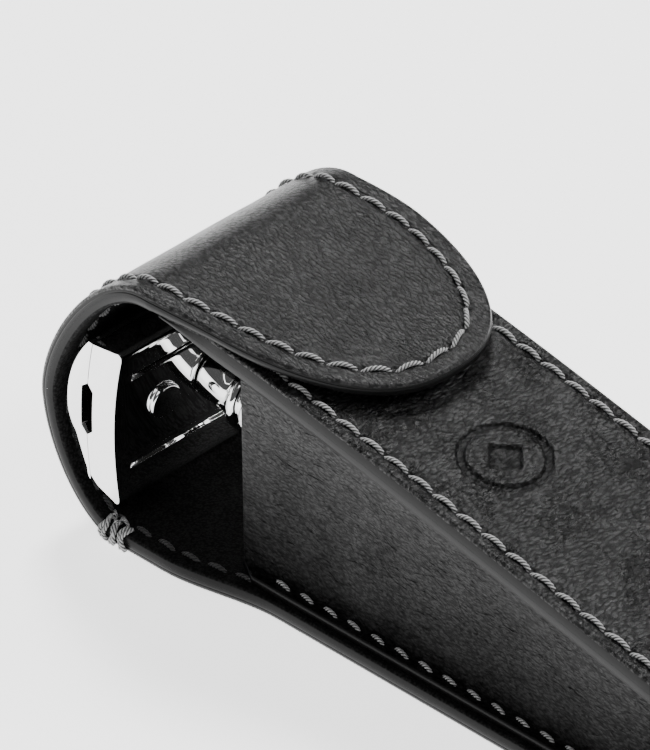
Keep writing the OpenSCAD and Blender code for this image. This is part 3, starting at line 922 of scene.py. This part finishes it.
def gusset_piece():
    """One strip with an outward flange at the bottom and at the top, swept round the pocket."""
    side = panel_side(GUSSET_FRONT[0], POCKET_HALF_W, FRONT_FLARE, GUSSET_INSET)
    line = resample(closed(side), 0.8)
    spread = np.linspace(0, lengths(line)[-1], WALL_COLUMNS)
    wall = np.stack([np.interp(spread, lengths(line), line[:, k]) for k in (0, 1)], axis=1)
    out = outward(wall, np.gradient(wall, axis=0), np.array([CASE_LEN / 2, 0]))
    along = lengths(wall)
    from_front = np.minimum(along, along[-1] - along)
    reach = np.maximum(np.minimum(GUSSET_INSET - FLANGE_SET_BACK, from_front * 0.55 + 0.15), 0.2)
    top_z = np.interp(wall[:, 0], *panel_underside())
    sag = 0.35 * smooth(from_front / 30)
    rows = wall_rows()

    def surface(inside):
        grid = []
        for part, f in rows:
            o, z = wall_section(part, f, inside, reach, top_z)
            if part == "wall":
                fade = smooth(f / 0.16) * smooth((1 - f) / 0.16)
                o = o + fade * wrinkles(along, z, from_front) - sag * math.sin(math.pi * f)
            share = np.clip((z - WALL_LOW) / (top_z - WALL_LOW), 0, 1)
            lean = (GUSSET_FRONT[1] - GUSSET_FRONT[0]) * share * smooth(1 - from_front / 18)
            pos = wall + out * o[:, None]
            x = pos[:, 0] + lean
            if part == "top":
                # Under the sloped panel the flange follows the slope across its own width
                z = np.interp(x, *panel_underside()) - (SKIN_GAP if inside else GUSSET_T)
            grid.append(np.stack([x, pos[:, 1], z], axis=1))
        return np.array(grid)

    m, n = len(rows), WALL_COLUMNS
    verts = np.vstack([surface(False).reshape(-1, 3), surface(True).reshape(-1, 3)])
    size = m * n
    faces, mats = [], []
    for a in [r * n + c for r in range(m - 1) for c in range(n - 1)]:
        faces.append([a, a + 1, a + n + 1, a + n])
        faces.append([size + a, size + a + n, size + a + n + 1, size + a + 1])
        mats += [0, 2]
    rims = [(r * n + c, 1) for c in range(n - 1) for r in (0, m - 1)]
    rims += [(r * n + c, n) for r in range(m - 1) for c in (0, n - 1)]
    for a, step in rims:
        faces.append([a, a + step, size + a + step, size + a])
        mats.append(1)
    return add_object("side_wall", verts, faces, [WALL, EDGE, SUEDE], mats)


# The creases lean by about 12 degrees
CREASE_COS = 0.977
CREASE_SIN = 0.211


def wrinkles(along, z, from_front):
    """Creases that run towards the closed end and slowly down, in bundles, over soft waves."""
    out = []
    for a, h, near in zip(along, z, from_front):
        u = a * CREASE_COS - h * CREASE_SIN
        v = a * CREASE_SIN + h * CREASE_COS
        drawn = 2.2 * noise.noise(Vector((u / 15, v / 9, 3.3)))
        drawn += 0.7 * noise.noise(Vector((u / 4.5, v / 3.2, 9.3)))
        v += drawn
        big = abs(noise.noise(Vector((u / 17 + 0.7, v / 3.4, 1.7))))
        small = abs(noise.noise(Vector((u / 6.5, v / 1.5, 6.1))))
        bundle = smooth(0.4 + 1.5 * noise.noise(Vector((u / 24, v / 8, 4.9))))
        wave = noise.noise(Vector((a / 20, h / 13, 8.8)))
        crease = (0.04 + 0.16 * bundle) * math.exp(-(big / 0.15) ** 2)
        crease += (0.02 + 0.06 * bundle) * math.exp(-(small / 0.3) ** 2)
        out.append(smooth(near / 2.5) * (0.45 * wave - crease))
    return np.array(out)


# ---------------------------------------------------------------- razor

def case_place():
    """The razor's own frame, head up, as the handle's joint gives it."""
    joint = next(j for j in frame["joints"] if j["name"] == "handle_turn")
    origin = Vector(joint["pos_m"])
    down = Vector(joint["axis"]).normalized()
    up = -down
    across = Vector((0, 1, 0))
    width = across.cross(up)
    return Matrix.Translation(origin) @ Matrix((width, across, up)).transposed().to_4x4()


def place_razor(obj):
    obj.matrix_world = case_place()
    return obj


def loft(name, sections, places, bevel):
    """A polished solid through sections in X and Z that have the same number of points, along Y."""
    verts = [(x, y, z) for section, y in zip(sections, places) for x, z in section]
    faces = tube_faces(len(places), len(sections[0]))
    return place_razor(add_object(name, verts, faces, [CHROME], bevel=bevel))


KNURL_COUNT = 30
KNURL_PITCH = 2.2
KNURL_DEEP = 0.4
KNURL_ENDS = (-75.4, -13.2)


def diamonds(a, z):
    """Height of the grip's diamond pattern, which fades out at both ends."""
    u = (a * KNURL_COUNT / (2 * math.pi) + z / KNURL_PITCH) % 1.0
    v = (a * KNURL_COUNT / (2 * math.pi) - z / KNURL_PITCH) % 1.0
    fade = smooth(min(z - KNURL_ENDS[0], KNURL_ENDS[1] - z) / 0.5)
    return KNURL_DEEP * fade * (min(1 - abs(2 * u - 1), 1 - abs(2 * v - 1)) - 0.5)


HEAD_HALF = 19.7
PLATE_W = 27.6
PLATE_T = 7.0
CAP_T = 4.1
CAP_HALF = (PLATE_W - 2.6) / 2
BED_EDGE = 5.9
BAR_R = 0.7
BAR_X = PLATE_W / 2 - BAR_R
UNDER_HALF = BAR_X - 0.5
UNDER_ARCH = 1.25
SLOT_W = 9.4
SLOT_CORNER = 1.1
SLOT_LONG = 5.5
SLOT_RISE = 1.1
CAP_EDGE_T = 0.9
BLADE_GAP = 0.12
GROOVE_X = 8.0
GROOVE_W = 1.5
GROOVE_DEEP = 0.45
GROOVE_HALF_LONG = 16.5


def arch_z(x, half, crown, edge):
    return edge + (crown - edge) * (1 - (x / half) ** 2)


def bed_xs():
    """Places over the width, with the corners of the blade slot among them."""
    slot = (SLOT_W / 2, SLOT_W / 2 - SLOT_CORNER)
    xs = np.concatenate([np.linspace(-CAP_HALF, CAP_HALF, 29), slot, -np.array(slot)])
    return np.unique(np.round(xs, 4))


def slot_share(x, y):
    """1 where the blade slot is at its full height: near both ends and away from its pointed sides."""
    if abs(y) <= HEAD_HALF - SLOT_LONG:
        return 0.0
    return float(np.clip((SLOT_W / 2 - abs(x)) / SLOT_CORNER, 0, 1))


def groove_share(x, y):
    if abs(y) > GROOVE_HALF_LONG:
        return 0.0
    return float(np.clip((GROOVE_W / 2 - abs(abs(x) - GROOVE_X)) / 0.2, 0, 1))


HEAD_PLACES = [-HEAD_HALF + 0.1, -HEAD_HALF + SLOT_LONG - 0.01, -HEAD_HALF + SLOT_LONG + 0.01]
HEAD_PLACES += [-y for y in reversed(HEAD_PLACES)]


def razor_cap_piece():
    xs = bed_xs()
    sections = []
    for y in HEAD_PLACES:
        crown = [(x, arch_z(x, CAP_HALF, PLATE_T + CAP_T, BED_EDGE + CAP_EDGE_T)) for x in xs]
        bed = [arch_z(x, CAP_HALF, PLATE_T + BLADE_GAP, BED_EDGE + BLADE_GAP) for x in xs]
        under = [(x, z + SLOT_RISE * slot_share(x, y)) for x, z in zip(xs, bed)]
        sections.append(crown + under[::-1])
    return loft("razor_cap_polished", sections, HEAD_PLACES, 0.16)


def razor_plate_piece():
    """The plate follows the blade's arch on both sides; grooves run along its two rounded edges."""
    xs = bed_xs()
    corners = [GROOVE_X + s * (GROOVE_W / 2 - inner) for s in (-1, 1) for inner in (0.0, 0.2)]
    below = np.unique(np.round(np.concatenate([np.linspace(-UNDER_HALF, UNDER_HALF, 27), corners,
                                               -np.array(corners)]), 4))
    bar = [(BAR_X + BAR_R * math.cos(a), BAR_R + BAR_R * math.sin(a))
           for a in np.linspace(math.radians(40), math.radians(-95), 9)]
    rim = [(CAP_HALF + 0.35, 4.4), (CAP_HALF + 0.8, 2.6)] + bar
    places = sorted(HEAD_PLACES + [-GROOVE_HALF_LONG, -GROOVE_HALF_LONG - 0.25,
                                   GROOVE_HALF_LONG, GROOVE_HALF_LONG + 0.25])
    sections = []
    for y in places:
        bed = [(x, arch_z(x, CAP_HALF, PLATE_T, BED_EDGE) - SLOT_RISE * slot_share(x, y)) for x in xs]
        hollow = [(x, arch_z(x, UNDER_HALF, UNDER_ARCH, 0.02) + GROOVE_DEEP * groove_share(x, y))
                  for x in reversed(below)]
        sections.append(bed + rim + hollow + [(-x, z) for x, z in reversed(rim)])
    return loft("base_plate_polished", sections, places, 0.14)


# ---------------------------------------------------------------- build: shell, panels, side wall

# The painted border ends this far before the stitches
BORDER_GAP = 0.4
EDGE_LINE = 0.39

back_outer = sheet_mesh("back_and_hood_leather", SHELL, back_region, back_edge, 0.0,
                        BACK_LEATHER_T - SKIN_GAP, back_relief, [OUTER, EDGE, SUEDE], fine=0.8,
                        focus=[back_row], holes=back_holes, border=PANEL_MARGIN - BORDER_GAP,
                        line_at=EDGE_LINE)
back_inner = sheet_mesh("back_and_hood_lining", SHELL, back_region, back_edge, BACK_T, BACK_LEATHER_T,
                        lining_relief, [SUEDE, EDGE, SUEDE], round_r=0.4, fine=0.9)
flap_outer = sheet_mesh("hood_and_flap_leather", SHELL, flap_region, flap_edge, 0.0,
                        HOOD_LEATHER_T - SKIN_GAP, flap_relief, [FLAP_OUTER, EDGE, SUEDE], fine=0.45,
                        focus=[flap_row], holes=flap_holes, border=FLAP_MARGIN - BORDER_GAP,
                        line_at=EDGE_LINE)
flap_inner = sheet_mesh("hood_and_flap_lining", SHELL, flap_region, flap_edge, HOOD_T, HOOD_LEATHER_T,
                        lining_relief, [SUEDE, EDGE, SUEDE], round_r=0.4, fine=0.8)
# The pressed mark shines less and is painted darker, as shade in its recess.
front_outer = sheet_mesh("front_panel_leather", PANEL, front_region, front_edge, 0.0,
                         FRONT_LEATHER_T - SKIN_GAP, front_relief, [OUTER, EDGE, SUEDE], fine=0.5,
                         focus=[front_row, mark_ring, mark_diamond], holes=front_holes,
                         border=PANEL_MARGIN - BORDER_GAP, matt_and_shaded=mark_share)
front_inner = sheet_mesh("front_panel_lining", PANEL, front_region, front_edge, FRONT_T, FRONT_LEATHER_T,
                         lining_relief, [SUEDE, EDGE, SUEDE], round_r=0.12, fine=1.2)
side_wall = gusset_piece()

# ---------------------------------------------------------------- build: thread

front_thread = stitches("front_seam_stitches", PANEL, front_holes, 0.0, 1, seed=2)
flap_thread = stitches("flap_stitches", SHELL, flap_holes, 0.0, 1, seed=3)
# The outer row starts at the bend, and the inner one also runs on beside the razor's head
hood_holes = back_holes[back_holes[:, :, 0].min(1) > 3.0]
inner_holes = back_holes[back_holes[:, :, 0].min(1) > -27]
hood_thread = stitches("hood_stitches", SHELL, hood_holes, 0.0, 1, seed=4)
# The inner rows take the darker copy of the thread, which paints the shade inside the hood.
inner_thread = stitches("hood_inner_stitches", SHELL, inner_holes, HOOD_T, -1, seed=5,
                        material=SHADE_PAINTED_THREAD)
inner_flap_thread = stitches("flap_inner_stitches", SHELL, flap_holes, HOOD_T, -1, seed=6,
                             material=SHADE_PAINTED_THREAD)
seam_side = [(-x, y) for x, y in panel_side(26.0, HOOD_HALF_W, BACK_FLARE, PANEL_MARGIN + 0.1)]
seam_holes = stitch_row(resample(closed(seam_side), ROW_STEP))
seam_thread = stitches("back_seam_stitches", SHELL, seam_holes, BACK_T + GUSSET_T, -1, radius=0.34,
                       slant=0.35, seed=7)


def bend_height(x):
    """Height of the lower bend's outer face at a place left of the back panel."""
    if x >= 0:
        return 0.0
    bend = bezier(LOWER, 60)
    return float(np.interp(-x, -bend[:, 0], bend[:, 1]))


def bar_tack(name, side):
    """Whipped turns over the edge where the hood leaves the back panel, with loose ends across them."""
    rng = np.random.default_rng(11)
    bundle = Bundle()
    for i in range(6):
        x = -2.0 + 0.85 * i + rng.uniform(-0.15, 0.15)
        slope = rng.uniform(-0.4, 1.2)
        outline = []
        for f in np.linspace(0, 1, 24):
            angle = math.pi * (0.04 + 0.92 * f)
            y = HOOD_HALF_W - 2.2 + 2.85 * math.sin(angle) ** 0.55
            z = BACK_T / 2 - (BACK_T / 2 + 0.45) * math.cos(angle)
            bend_x = x + slope * f + 0.3 * math.sin(9 * f + i)
            outline.append((bend_x, side * y, max(z + bend_height(bend_x), 0.42)))
        bundle.add(outline, np.tile([1.0, 0.02, 0.01], (24, 1)), 0.36, i)
    for i in range(5):
        x0 = rng.uniform(-2.2, 1.5)
        y0 = HOOD_HALF_W - rng.uniform(0.2, 2.6)
        turn = rng.uniform(0, 6.28)
        top = BACK_T + 0.55 + bend_height(x0)
        line = [(x0 + 1.1 * t * math.cos(turn + 0.9 * t), side * (y0 + 0.5 * t * math.sin(turn)),
                 top + 0.35 * math.sin(2.5 * t + i)) for t in np.linspace(-1, 1, 12)]
        bundle.add(line, np.tile([0.01, 0.02, 1.0], (12, 1)), 0.2, i)
    return bundle.build(name, THREAD)


tack_near = bar_tack("bar_tack_near", -1)
tack_far = bar_tack("bar_tack_far", 1)

# ---------------------------------------------------------------- build: razor

cap = razor_cap_piece()
plate = razor_plate_piece()


def lathe(name, outline, y=0, segments=64, pattern=None):
    """A closed turned part about a line parallel to the razor's axis, plain or with a raised pattern."""
    verts = []
    for r, z in outline:
        for j in range(segments):
            a = 2 * math.pi * j / segments
            far = r + (pattern(a, z) if pattern else 0.0)
            verts.append((far * math.cos(a), y + far * math.sin(a), z))
    return place_razor(add_object(name, verts, tube_faces(len(outline), segments), [CHROME]))


# Radius of a turned part's end points, close to the axis
ON_AXIS = 0.0001
PIN_Y = 10


def pin(name, y):
    """The cap's pin, riveted over on the plate's underside."""
    rim = [(2.45 + 0.35 * math.cos(a), 0.85 - 0.35 * math.sin(a)) for a in np.linspace(0, math.pi / 2, 7)]
    return lathe(name, [(2.8, 1.3)] + rim + [(ON_AXIS, 0.46)], y)


pins = [pin("pin_ring_near", -PIN_Y), pin("pin_ring_far", PIN_Y)]

NECK = [(3.6, 1.0), (3.95, 0.85), (4.2, 0.4), (4.2, -4.4), (4.1, -5.0), (4.15, -5.5), (4.6, -6.0),
        (5.05, -6.2), (5.3, -6.6), (5.3, -7.3), (5.05, -7.7), (4.5, -7.95), (4.2, -8.3), (4.2, -9.0)]
GRIP_R = 5.9
GRIP_TOP = -9.0
GRIP_END = -79.0
KNURL_R = 5.7
GRIP = [(ON_AXIS, GRIP_TOP), (4.7, GRIP_TOP), (5.4, -9.2), (GRIP_R, -9.9), (GRIP_R, -11.4), (5.5, -11.8),
        (5.5, -12.6), (KNURL_R, -13.0)]
GRIP += [(KNURL_R, z) for z in np.arange(-13.3, -75.4, -0.3)]
GRIP += [(5.5, -75.9), (5.5, -76.7), (GRIP_R, -77.1), (GRIP_R, -78.7), (5.6, GRIP_END), (ON_AXIS, GRIP_END)]
KNOB = [(4.4, -78.9), (4.4, -80.2), (5.3, -80.6)]
KNOB += [(3.9 + 2 * math.cos(a), -86 - 2 * math.sin(a)) for a in np.linspace(-0.3, math.pi / 2, 10)]
KNOB += [(ON_AXIS, -87.9)]

neck = lathe("neck_polished", NECK)
grip = lathe("grip_knurled", GRIP, segments=180, pattern=diamonds)
knob = lathe("knob_polished", KNOB)

# ---------------------------------------------------------------- materials of the CAD nodes that stay

for node in ("panel_keeper", "flap_magnet"):
    frame["nodes"][node].data.materials.clear()
    frame["nodes"][node].data.materials.append(STEEL)

# ---------------------------------------------------------------- what rides on what

for piece in (back_outer, back_inner, hood_thread, inner_thread):
    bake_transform(piece)
for piece in (flap_outer, flap_inner, flap_thread, inner_flap_thread):
    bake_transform(piece)
for piece in (front_outer, front_inner, side_wall, front_thread, seam_thread, tack_near, tack_far):
    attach(piece, "case")
for piece in (cap, plate, *pins):
    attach(piece, "razor_head")
for piece in (neck, grip, knob):
    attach(piece, "razor_handle")

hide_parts("back_leather")
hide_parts("back_lining", "hood_lining")
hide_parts("hood_leather", "flap_leather")
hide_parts("flap_lining")
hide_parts("front_leather")
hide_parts("front_lining")
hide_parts("gusset")
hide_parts("front_seam_thread")
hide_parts("back_seam_thread")
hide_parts("bar_tacks")
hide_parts("hood_thread")
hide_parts("flap_thread")
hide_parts("razor_cap")
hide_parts("razor_base_plate")
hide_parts("handle_neck")
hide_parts("handle_grip")
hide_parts("handle_knob")

# ---------------------------------------------------------------- floor, light and camera

def add_floor():
    mesh = bpy.data.meshes.new("floor")
    half = 3.0
    corners = [(-half, -half, 0), (half, -half, 0), (half, half, 0), (-half, half, 0)]
    mesh.from_pydata(corners, [], [(0, 1, 2, 3)])
    mat, _, bsdf = new_material("floor_paper")
    bsdf.inputs["Base Color"].default_value = (0.9, 0.9, 0.9, 1)
    bsdf.inputs["Roughness"].default_value = 0.8
    bsdf.inputs["Specular IOR Level"].default_value = 0.2
    bsdf.inputs["Emission Color"].default_value = (1, 1, 1, 1)
    bsdf.inputs["Emission Strength"].default_value = 2.0
    mesh.materials.append(mat)
    floor = bpy.data.objects.new("floor", mesh)
    floor.location.z = -0.0002
    bpy.context.scene.collection.objects.link(floor)


def add_light(name, place, target, size, watts):
    data = bpy.data.lights.new(name, "AREA")
    data.shape = "RECTANGLE"
    data.size, data.size_y = size
    data.energy = watts
    lamp = bpy.data.objects.new(name, data)
    lamp.location = place
    lamp.rotation_euler = (Vector(target) - Vector(place)).to_track_quat("-Z", "Y").to_euler()
    bpy.context.scene.collection.objects.link(lamp)


CAMERA_AWAY = 1.1287


def add_camera():
    azimuth, elevation, roll = math.radians(48.57), math.radians(34.49), math.radians(-3.93)
    back = Vector((math.sin(azimuth) * math.cos(elevation), -math.cos(azimuth) * math.cos(elevation),
                   math.sin(elevation)))
    level = Vector((math.cos(azimuth), math.sin(azimuth), 0))
    upright = back.cross(level)
    right = level * math.cos(roll) + upright * math.sin(roll)
    up = upright * math.cos(roll) - level * math.sin(roll)
    target = Vector((0.02497, 0, 0.03052))
    data = bpy.data.cameras.new("camera")
    data.sensor_width = 36
    data.lens = 384
    data.clip_start, data.clip_end = 0.05, 20
    camera = bpy.data.objects.new("camera", data)
    turn = Matrix((right, up, back)).transposed().to_4x4()
    camera.matrix_world = Matrix.Translation(target + back * CAMERA_AWAY) @ turn
    bpy.context.scene.collection.objects.link(camera)
    bpy.context.scene.camera = camera


def add_world():
    world = bpy.data.worlds.new("studio")
    bpy.context.scene.world = world
    world.use_nodes = True
    world.node_tree.nodes["Background"].inputs["Color"].default_value = (1, 1, 1, 1)
    world.node_tree.nodes["Background"].inputs["Strength"].default_value = 0.09


add_floor()
add_world()
add_camera()
CENTRE = (0.03, 0, 0.03)
add_light("overhead_softbox", (-0.62, 0.74, 1.7), CENTRE, (0.45, 0.45), 40)
add_light("side_softbox", (1.0, 1.0, 1.1), CENTRE, (0.5, 0.5), 16)
add_light("front_softbox", (0.5, -0.6, 1.5), CENTRE, (1.2, 1.2), 9)
